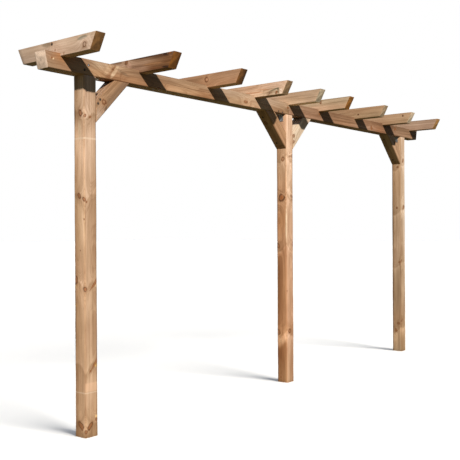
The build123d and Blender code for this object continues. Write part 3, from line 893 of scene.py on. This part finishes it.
# -------------------------------------------------------------------- rafters
# Nine short pine rafters lie across the beam at uneven spacing, each let down over it by a
# shallow notch. Both ends are cut back under, and each stick has its own colour and figure.
RAFTER_ARRIS = 0.004
RAFTER_END_LEAN = 0.048
NOTCH_DEPTH = 0.017
LEFT = 0.0335                 # a rafter's left side, across its own Y
RAFTERS = {
    1: dict(
        pale_knots=0.85, pith=(-0.06, 0.02), seed=41.1, ring=0.0050, figure=0.30, ends=(110, 76, 41),
        skins=(0.5, 0.75),
        upper=[(0.0, (191, 161, 133)), (0.5, (200, 168, 140)), (1.0, (190, 162, 137))],
        lower=[(0.0, (199, 169, 145)), (0.35, (196, 164, 137)), (1.0, (180, 154, 132))],
        knots=[(-0.242, LEFT, -0.011, 0.0121, 0.2, 1.0), (0.027, LEFT, 0.029, 0.0074, 0.2, 1.0),
               (-0.002, LEFT, -0.005, 0.0042, 0.2, 1.0), (-0.074, LEFT, -0.033, 0.0042, 0.2, 1.0)],
        stains=[(-0.224, LEFT, 0.024, 0.044, 0.0105, -0.08, 1.0, (126, 116, 94)),
                (0.070, LEFT, 0.031, 0.055, 0.018, 0.1, 0.6, (118, 98, 72)),
                (0.029, LEFT, 0.042, 0.005, 0.016, 0, 0.7, (104, 72, 46)),
                (-0.25, LEFT, 0.010, 0.07, 0.020, 0, 0.5, (224, 192, 166))]),
    2: dict(
        pith=(-0.02, 0.07), seed=47.7, ring=0.0036, figure=0.95, ends=(103, 62, 19), skins=(0.45, 1.7),
        end_turn=9,
        upper=[(0.0, (112, 74, 42)), (0.35, (146, 112, 84)), (0.65, (170, 136, 108)),
               (1.0, (158, 124, 96))],
        lower=[(0.0, (112, 72, 37)), (0.22, (126, 85, 52)), (0.38, (153, 117, 90)), (0.62, (161, 126, 98)),
               (1.0, (165, 130, 100))],
        knots=[(0.063, LEFT, 0.033, 0.0108, 0.4, 1.0), (-0.300, LEFT, 0.040, 0.0081, 0.4, 1.6)],
        stains=[(-0.290, LEFT, 0.038, 0.045, 0.014, 0, 0.8, (58, 38, 24)),
                (-0.110, LEFT, 0.045, 0.150, 0.010, 0, 0.75, (86, 54, 32)),
                (0.044, LEFT, 0.012, 0.034, 0.020, 0.4, 0.6, (196, 154, 128)),
                (-0.170, LEFT, -0.006, 0.090, 0.007, 0.03, 0.6, (184, 136, 94)),
                (-0.230, LEFT, -0.022, 0.090, 0.009, 0.02, 0.5, (92, 62, 38)),
                (-0.262, LEFT, -0.036, 0.034, 0.0065, 0.08, 0.9, (52, 32, 18)),
                (-0.180, LEFT, -0.034, 0.060, 0.0050, 0.05, 0.6, (112, 68, 38))]),
    3: dict(
        pale_knots=0.7, pith=(-0.05, -0.03), seed=53.9, ring=0.0046, figure=0.42, ends=(88, 55, 23),
        skins=(0.55, 1.75), end_turn=16,
        upper=[(0.0, (175, 134, 101)), (0.5, (169, 127, 92)), (1.0, (166, 125, 95))],
        lower=[(0.0, (172, 127, 92)), (0.5, (177, 132, 96)), (1.0, (173, 131, 98))],
        knots=[(-0.040, LEFT, 0.008, 0.0135, 0.3, 1.1)],
        stains=[(-0.052, LEFT, 0.008, 0.016, 0.013, 0, 0.5, (206, 160, 124))]),
    4: dict(
        pith=(-0.045, 0.050), seed=59.3, ring=0.0052, figure=0.50, ends=(129, 101, 72), skins=(0.55, 0.55),
        upper=[(0.0, (206, 169, 139)), (0.5, (207, 166, 133)), (1.0, (193, 156, 121))],
        lower=[(0.0, (212, 178, 146)), (0.40, (216, 180, 146)), (1.0, (200, 161, 126))],
        knots=[(-0.236, LEFT, -0.028, 0.0070, 0.3, 1.2, 0.3),
               (-0.180, LEFT, -0.030, 0.0200, 0.9, 1.6, 0, 0.9)],
        stains=[(-0.205, LEFT, -0.025, 0.062, 0.018, -0.14, 0.90, (198, 174, 144)),
                (-0.214, LEFT, -0.008, 0.052, 0.0070, -0.24, 0.95, (120, 110, 84)),
                (-0.249, LEFT, -0.006, 0.012, 0.0105, 0, 0.95, (112, 102, 74)),
                (-0.252, LEFT, -0.024, 0.0075, 0.0160, 0, 0.85, (118, 106, 78)),
                (-0.276, LEFT, -0.020, 0.014, 0.020, 0, 0.85, (236, 206, 180)),
                (-0.238, LEFT, -0.026, 0.008, 0.0070, 0, 0.80, (168, 96, 58)),
                (-0.120, LEFT, 0.004, 0.075, 0.0050, 0.10, 0.55, (206, 142, 98)),
                (-0.040, LEFT, -0.010, 0.090, 0.0050, 0.06, 0.55, (208, 144, 100))]),
    5: dict(
        pith=(0.02, 0.075), seed=64.6, ring=0.0038, figure=0.45, ends=(153, 136, 112), skins=(0.6, 1.25),
        upper=[(0.0, (175, 144, 114)), (0.5, (184, 151, 120)), (1.0, (186, 152, 123))],
        lower=[(0.0, (212, 180, 150)), (0.4, (222, 187, 152)), (1.0, (214, 176, 142))],
        knots=[(0.205, LEFT, -0.012, 0.0095, 0.3, 1.3)]),
    6: dict(
        pith=(0.0, -0.080), seed=70.4, ring=0.0044, figure=0.60, ends=(129, 82, 31), skins=(0.6, 0.85),
        upper=[(0.0, (180, 154, 122)), (0.5, (190, 163, 130)), (1.0, (178, 143, 111))],
        lower=[(0.0, (204, 168, 134)), (0.5, (200, 161, 127)), (1.0, (190, 153, 119))],
        knots=[(-0.06, LEFT, 0.034, 0.0068, 0.3, 1.4)]),
    7: dict(
        pale_knots=0.9, pith=(-0.06, 0.01), seed=77.2, ring=0.0048, figure=0.35, ends=(151, 127, 100),
        skins=(0.6, 1.1),
        upper=[(0.0, (173, 137, 102)), (0.5, (168, 131, 97)), (1.0, (169, 135, 103))],
        lower=[(0.0, (167, 136, 103)), (0.5, (170, 137, 102)), (1.0, (169, 135, 102))],
        knots=[(-0.083, LEFT, -0.010, 0.0048, 0.2, 1.1), (0.22, LEFT, 0.012, 0.0095, 0.3, 1.4)],
        stains=[(-0.083, LEFT, -0.010, 0.0075, 0.0075, 0, 1.0, (40, 30, 20))]),
    8: dict(
        pale_knots=0.9, pith=(-0.03, -0.06), seed=83.5, ring=0.0044, figure=0.38, ends=(179, 157, 131),
        skins=(0.6, 1.05),
        upper=[(0.0, (183, 148, 114)), (0.5, (179, 143, 110)), (1.0, (175, 139, 108))],
        lower=[(0.0, (158, 125, 92)), (0.5, (158, 122, 89)), (1.0, (158, 126, 97))],
        knots=[(-0.246, LEFT, 0.019, 0.0048, 0.2, 1.1)],
        stains=[(-0.246, LEFT, 0.019, 0.0070, 0.0070, 0, 1.0, (52, 36, 22))]),
    9: dict(
        pith=(0.01, 0.085), seed=89.9, ring=0.0040, figure=0.40, ends=(139, 101, 57), skins=(0.6, 1.2),
        upper=[(0.0, (169, 138, 114)), (0.5, (171, 140, 114)), (1.0, (167, 136, 112))],
        lower=[(0.0, (169, 136, 112)), (0.5, (169, 136, 110)), (1.0, (166, 134, 108))],
        knots=[(0.1, LEFT, -0.018, 0.0081, 0.3, 1.3)]),
}
beam_low, beam_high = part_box("beam_left")
half_beam = (beam_high.y - beam_low.y) / 2
for number, wood in RAFTERS.items():
    node = "rafter_%d" % number
    low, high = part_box(node)
    middle = (low + high) / 2
    wide, tall = high.x - low.x, high.z - low.z
    reach = (high.y - low.y) / 2 - RAFTER_END_LEAN / 2
    lean = RAFTER_END_LEAN / tall
    # The grain runs to the back, and the rafter's own Y is towards the left end of the beam.
    lying = Matrix(((0, -1, 0, middle.x), (1, 0, 0, middle.y), (0, 0, 1, middle.z), (0, 0, 0, 1)))
    # One deep check in the top, and a finer one in one of the sides.
    chance = random.Random(number)
    checks = [(2, chance.uniform(-0.012, 0.012), chance.uniform(-0.36, -0.2),
               chance.uniform(0.05, 0.36), 0.010, 0.0015),
              (chance.choice((1, 3)), chance.uniform(-0.02, 0.02), chance.uniform(-0.05, 0.1),
               chance.uniform(0.3, 0.42), 0.006, 0.0010)]
    planed = pine(node + "_pine", (-reach, reach), wood, (wood["lower"], wood["upper"]),
                  across=(0, 1), spread=0.026, end_wood=wood["ends"],
                  shares=(TO_THE_LEFT, TO_THE_LEFT))
    rafter = saw_timber("timber_" + node, (-reach, reach), (wide, tall), RAFTER_ARRIS,
                        slopes=(-lean, lean), notch=(half_beam, NOTCH_DEPTH), checks=checks,
                        seed=20 + number)
    stand(rafter, node, lying, planed)


# --------------------------------------------------------------------- braces
# Short knee braces of the same pine stand at 45 degrees in the corners under the beam, one
# on each end post and two on the middle one. Their mitred ends bear on post and beam.
BRACE_ARRIS = 0.006
BRACE_WIDTH = 0.084
# Each brace's side is 1 where it stands to the right of its post, and -1 to the left.
BRACES = {
    "brace_left_post": dict(
        side=1, pale_knots=0.6, pith=(0.03, 0.075), seed=95.1, ring=0.0042, figure=0.55,
        outer=[(0.0, (200, 170, 144)), (0.13, (184, 148, 118)), (0.28, (158, 124, 94)),
               (0.6, (158, 124, 94)), (1.0, (152, 118, 90))],
        inner=[(0.0, (176, 138, 104)), (0.5, (178, 138, 102)), (1.0, (168, 126, 88))],
        knots=[(-0.055, FACE, 0.005, 0.0117, 0.2, 1.1)],
        stains=[(-0.052, FACE, 0.008, 0.0060, 0.0060, 0, 0.7, (200, 164, 128)),
                (-0.072, FACE, -0.030, 0.020, 0.009, 0.3, 0.7, (96, 68, 46))]),
    "brace_middle_left": dict(
        side=-1, pith=(0.05, 0.055), seed=101.6, ring=0.0044, figure=0.45,
        outer=[(0.0, (184, 140, 102)), (0.5, (184, 140, 102)), (1.0, (182, 136, 98))],
        inner=[(0.0, (192, 148, 108)), (0.5, (192, 148, 108)), (1.0, (190, 144, 104))],
        knots=[(-0.07, 0.012, -0.042, 0.0104, 0.3, 1.4)]),
    "brace_middle_right": dict(
        side=1, pith=(0.04, -0.065), seed=107.4, ring=0.0046, figure=0.30,
        outer=[(0.0, (232, 204, 172)), (0.5, (230, 204, 174)), (1.0, (206, 178, 150))],
        inner=[(0.0, (242, 218, 188)), (0.5, (240, 214, 184)), (1.0, (216, 186, 156))],
        knots=[(-0.098, FACE, 0.022, 0.0091, 0.3, 1.2), (-0.130, FACE, -0.008, 0.0065, 0.3, 1.6)]),
    "brace_right_post": dict(
        side=-1, pith=(0.04, 0.065), seed=113.3, ring=0.0042, figure=0.45,
        outer=[(0.0, (196, 156, 122)), (0.5, (200, 160, 124)), (1.0, (196, 156, 120))],
        inner=[(0.0, (204, 164, 128)), (0.5, (206, 166, 130)), (1.0, (200, 160, 124))],
        knots=[(-0.03, FACE, 0.01, 0.0078, 0.3, 1.4)]),
}
for number, (node, wood) in enumerate(BRACES.items()):
    low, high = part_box(node)
    side = wood["side"]
    corner = Vector((low.x if side > 0 else high.x, (low.y + high.y) / 2, high.z))
    half = (high.x - low.x) / math.sqrt(2) - BRACE_WIDTH / 2
    slant = 1 / math.sqrt(2)
    # The grain climbs away from the left for one side of a post and drops for the other.
    uphill = Vector((slant, 0, slant * side))
    towards_corner = Vector((-slant * side, 0, slant))
    lying = Matrix((uphill, Vector((0, 1, 0)), towards_corner)).transposed().to_4x4()
    lying.translation = corner - towards_corner * half
    planed = pine(node + "_pine", (-half, half), wood, (wood["outer"], wood["inner"]),
                  across=(0, 1), spread=0.026, end_wood=(156, 120, 88))
    brace = saw_timber("timber_" + node, (-half, half), (high.y - low.y, BRACE_WIDTH), BRACE_ARRIS,
                       slopes=(1, -1), checks=[(3, 0.012 * side, -0.2, 0.03, 0.007, 0.0011)],
                       seed=40 + number)
    stand(brace, node, lying, planed)


# ------------------------------------------------------------------- brackets
# In the corner behind each brace a small pressed steel angle ties post and beam. The steel
# is zinc plated and gone dull out of doors, mottled, with a few white bloom spots.
SPANGLES = 260                # in a metre
BLOOM_WAVES = (120, 120, 120)
BLOOM_SHARE = 0.6             # how much a spot of bloom covers
ZINC_SHINE = 0.85
ZINC_ROUGHNESS = (0.32, 0.58)


def plated_steel(name, bright, dull, bloomed):
    """Zinc plate on steel: fine spangles between two tones, and rougher patches of bloom."""
    zinc, tree = new_material(name)
    here = add_node(tree, "ShaderNodeTexCoord").outputs["Object"]
    spangle = add_node(tree, "ShaderNodeTexVoronoi", [("Vector", here), ("Scale", SPANGLES)])
    bloom = stretched_noise(tree, here, BLOOM_WAVES, 3)[0]
    colour = shade_steps(tree, spangle.outputs["Distance"], [
        (0.0, bright), (1.0, dull)]).outputs[0]
    covered = between(tree, bloom, 0.55, 0.75, to_high=BLOOM_SHARE)
    colour = blend(tree, covered, colour, (*bloomed, 1))
    rough = between(tree, bloom, 0.3, 0.7, *ZINC_ROUGHNESS)
    shader = finish_surface(tree, colour, rough, bloom, strength=0.25, depth=0.0002)
    shader.inputs["Metallic"].default_value = ZINC_SHINE
    return zinc


weathered_zinc = plated_steel(
    "weathered_zinc", (0.50, 0.51, 0.50), (0.36, 0.365, 0.36), (0.78, 0.78, 0.76))
for node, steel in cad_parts.items():
    if node.startswith("bracket_"):
        steel.data.materials.clear()
        steel.data.materials.append(weathered_zinc)


# --------------------------------------------------------------------- screws
# Countersunk star-drive wood screws of bright zinc plate: two through each leg of the angles,
# two through each brace, a few through the beam and the sides of the rafters. A head pulled
# into the pine stands in a ring of crushed fibres, coloured near black as painted shade of
# the sunk hole; a deep one shows only a dark disc of painted shade, with its head out of sight.
HEAD_RADIUS = 0.0042
HEAD_DOME = 0.0009
STAR_POINTS = 6
STAR_DEPTH = 0.16             # how far the star socket's points swing, of its radius
SHANK_RADIUS = 0.0022
SHANK_LENGTH = 0.030
SHANK_POINT = 0.006
NECK_DEPTH = 0.0032           # where the cone under the head meets the shank
CRUSHED_RADIUS = 0.0078
RAGGED = (0.84, 1.10)         # how far in and out the crushed fibres reach, of their radius
SCREW_FACETS = 36
SHARP_SCREW = 35              # degrees between two faces that make an edge show as sharp
TORN_WAVES = (420, 420, 420)

bright_zinc = plated_steel(
    "bright_zinc", (0.62, 0.65, 0.68), (0.50, 0.53, 0.56), (0.74, 0.75, 0.74))
# Near-black crushed pine: painted shade of a screw's sunk hole.
shaded_screw_hole, hole_shade_tree = new_material("shaded_screw_hole")
tufts = stretched_noise(
    hole_shade_tree, add_node(hole_shade_tree, "ShaderNodeTexCoord").outputs["Object"], TORN_WAVES, 3)[0]
hole_shade = shade_steps(hole_shade_tree, tufts, [
    (0.35, (0.022, 0.013, 0.008)), (0.65, (0.085, 0.050, 0.028))]).outputs[0]
finish_surface(hole_shade_tree, hole_shade, between(hole_shade_tree, tufts, 0, 1, 0.7, 0.95), tufts,
               strength=0.6, depth=0.0004)


def turn_screw(name, seat):
    """A screw along Z with its head's rim at z = 0, a shallow star socket and a pointed shank.
    Its seat is "steel"; or "wood", where fibres are raised round it and coloured dark as painted
    shade of the countersunk hole; or "deep", where a dark disc of painted shade stands for the
    sunk hole with the head out of sight."""
    chance = random.Random(5)
    ragged = [chance.uniform(*RAGGED) for _ in range(SCREW_FACETS)]
    shape = bmesh.new()
    rows = []

    def add_row(radius, height, star=0.0, torn=False):
        """One ring of points round the screw: round, drawn out to a star, or torn."""
        row = []
        for step in range(SCREW_FACETS):
            angle = 2 * math.pi * step / SCREW_FACETS
            far = radius * (1 + star * math.cos(STAR_POINTS * angle))
            far *= ragged[step] if torn else 1
            row.append(shape.verts.new((far * math.cos(angle), far * math.sin(angle), height)))
        rows.append(row)

    if seat == "deep":
        add_row(HEAD_RADIUS * 0.30, 0.00008)
        add_row(HEAD_RADIUS * 0.80, 0.00010)
    else:
        add_row(HEAD_RADIUS * 0.40, 0.00012, STAR_DEPTH)
        add_row(HEAD_RADIUS * 0.44, HEAD_DOME * 0.90, STAR_DEPTH)
        add_row(HEAD_RADIUS * 0.54, HEAD_DOME)
        add_row(HEAD_RADIUS * 0.80, HEAD_DOME * 0.82)
        add_row(HEAD_RADIUS * 0.96, HEAD_DOME * 0.45)
        add_row(HEAD_RADIUS, 0.0)
    head_rows = len(rows)
    if seat != "steel":
        add_row(HEAD_RADIUS * 1.12, 0.00010)
        add_row(HEAD_RADIUS * 1.40, 0.00045, torn=True)
        add_row(CRUSHED_RADIUS, 0.00012, torn=True)
        add_row(CRUSHED_RADIUS, -0.00060, torn=True)
    fibre_rows = len(rows)
    add_row(SHANK_RADIUS, -NECK_DEPTH)
    add_row(SHANK_RADIUS, SHANK_POINT - SHANK_LENGTH)
    add_row(SHANK_RADIUS * 0.2, -SHANK_LENGTH)
    in_hole_shade = range(0 if seat == "deep" else head_rows - 1, fibre_rows - 1)
    for number, (inner, outer) in enumerate(zip(rows, rows[1:])):
        for i in range(SCREW_FACETS):
            after = (i + 1) % SCREW_FACETS
            face = shape.faces.new((inner[i], outer[i], outer[after], inner[after]))
            # The ring round a head, or the whole disc of a deep seat, takes the dark pine as painted shade
            # of the hole.
            face.material_index = int(seat != "steel" and number in in_hole_shade)
    middle = shape.faces.new(rows[0])
    middle.material_index = int(seat == "deep")
    shape.faces.new(rows[-1])
    mesh = finish_mesh(shape, name, SHARP_SCREW)
    mesh.materials.append(bright_zinc)
    if seat != "steel":
        mesh.materials.append(shaded_screw_hole)
    return mesh


steel_screw = turn_screw("zinc_screw_on_steel", "steel")
wood_screw = turn_screw("zinc_screw_in_wood", "wood")
deep_screw = turn_screw("zinc_screw_deep", "deep")


def drive_screw(name, spot, facing, shape=deep_screw):
    """Drives a screw at a spot, its head facing outwards."""
    screw = bpy.data.objects.new(name, shape)
    bpy.context.collection.objects.link(screw)
    turn = Vector(facing).to_track_quat("Z", "Y").to_matrix().to_4x4()
    screw.matrix_world = Matrix.Translation(spot) @ turn
    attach(screw, "root")


# Through the beam's front: where along it, and how far up from its underside.
over_left_post = (near_low.x + near_high.x) / 2
for name, along, up, screw in (
        ("left_upper", over_left_post - 0.011, 0.056, wood_screw),
        ("left_lower", over_left_post - 0.040, 0.026, deep_screw),
        ("middle_upper", -0.139, 0.012, deep_screw),
        ("middle_lower", -0.090, 0.007, deep_screw)):
    drive_screw("screw_beam_" + name, (along, beam_low.y, beam_low.z + up), (0, -1, 0), screw)

# Toe screws through the rafters' sides into the beam: how far back, and how far up the rafter.
TOE_LEFT = (0.027, 0.074)
TOE_RIGHT = (0.012, 0.038)
low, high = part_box("rafter_1")
drive_screw("screw_rafter_1_left", (low.x, TOE_LEFT[0], low.z + TOE_LEFT[1]), (-1, 0, 0))
for number in RAFTERS:
    low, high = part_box("rafter_%d" % number)
    drive_screw("screw_rafter_%d_right" % number, (
        high.x, TOE_RIGHT[0], low.z + TOE_RIGHT[1]), (1, 0, 0))

# The steel angles take two screws up into the beam and two into the post.
ANGLE_HOLES = (0.018, 0.038)            # along each leg, from the corner
LEG_PER_THICKNESS = 20                  # an angle's leg is this many times as long as it is thick
for node in BRACES:
    low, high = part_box(node)
    side = BRACES[node]["side"]
    corner_x = low.x if side > 0 else high.x
    steel_low, steel_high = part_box(node.replace("brace", "bracket"))
    steel = (steel_high.x - steel_low.x) / LEG_PER_THICKNESS
    for number, hole in enumerate(ANGLE_HOLES):
        drive_screw("screw_%s_up_%d" % (node, number), (
            corner_x + side * hole, 0, high.z - steel), (0, 0, -1), steel_screw)
        drive_screw("screw_%s_across_%d" % (node, number), (
            corner_x + side * steel, 0, high.z - hole), (side, 0, 0), steel_screw)

# The left brace is screwed from its front; the others through their outer sides.
BRACE_SCREW_BACK = 0.012
BRACE_SCREWS_UP = (0.16, 0.84)          # how far up the outer side they stand, of its height
front_of_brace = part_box("brace_left_post")[0].y
for name, along, up in (("high", -1.8725, 1.8865), ("low", -1.8880, 1.8620)):
    drive_screw("screw_brace_left_post_" + name, (along, front_of_brace, up), (0, -1, 0))
for node in ("brace_middle_left", "brace_middle_right", "brace_right_post"):
    low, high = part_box(node)
    side = BRACES[node]["side"]
    for number, share in enumerate(BRACE_SCREWS_UP):
        along = (low.x if side > 0 else high.x) + side * share * (high.x - low.x)
        drive_screw("screw_%s_%d" % (node, number), (
            along, BRACE_SCREW_BACK, low.z + share * (high.z - low.z)), (side, 0, -1))
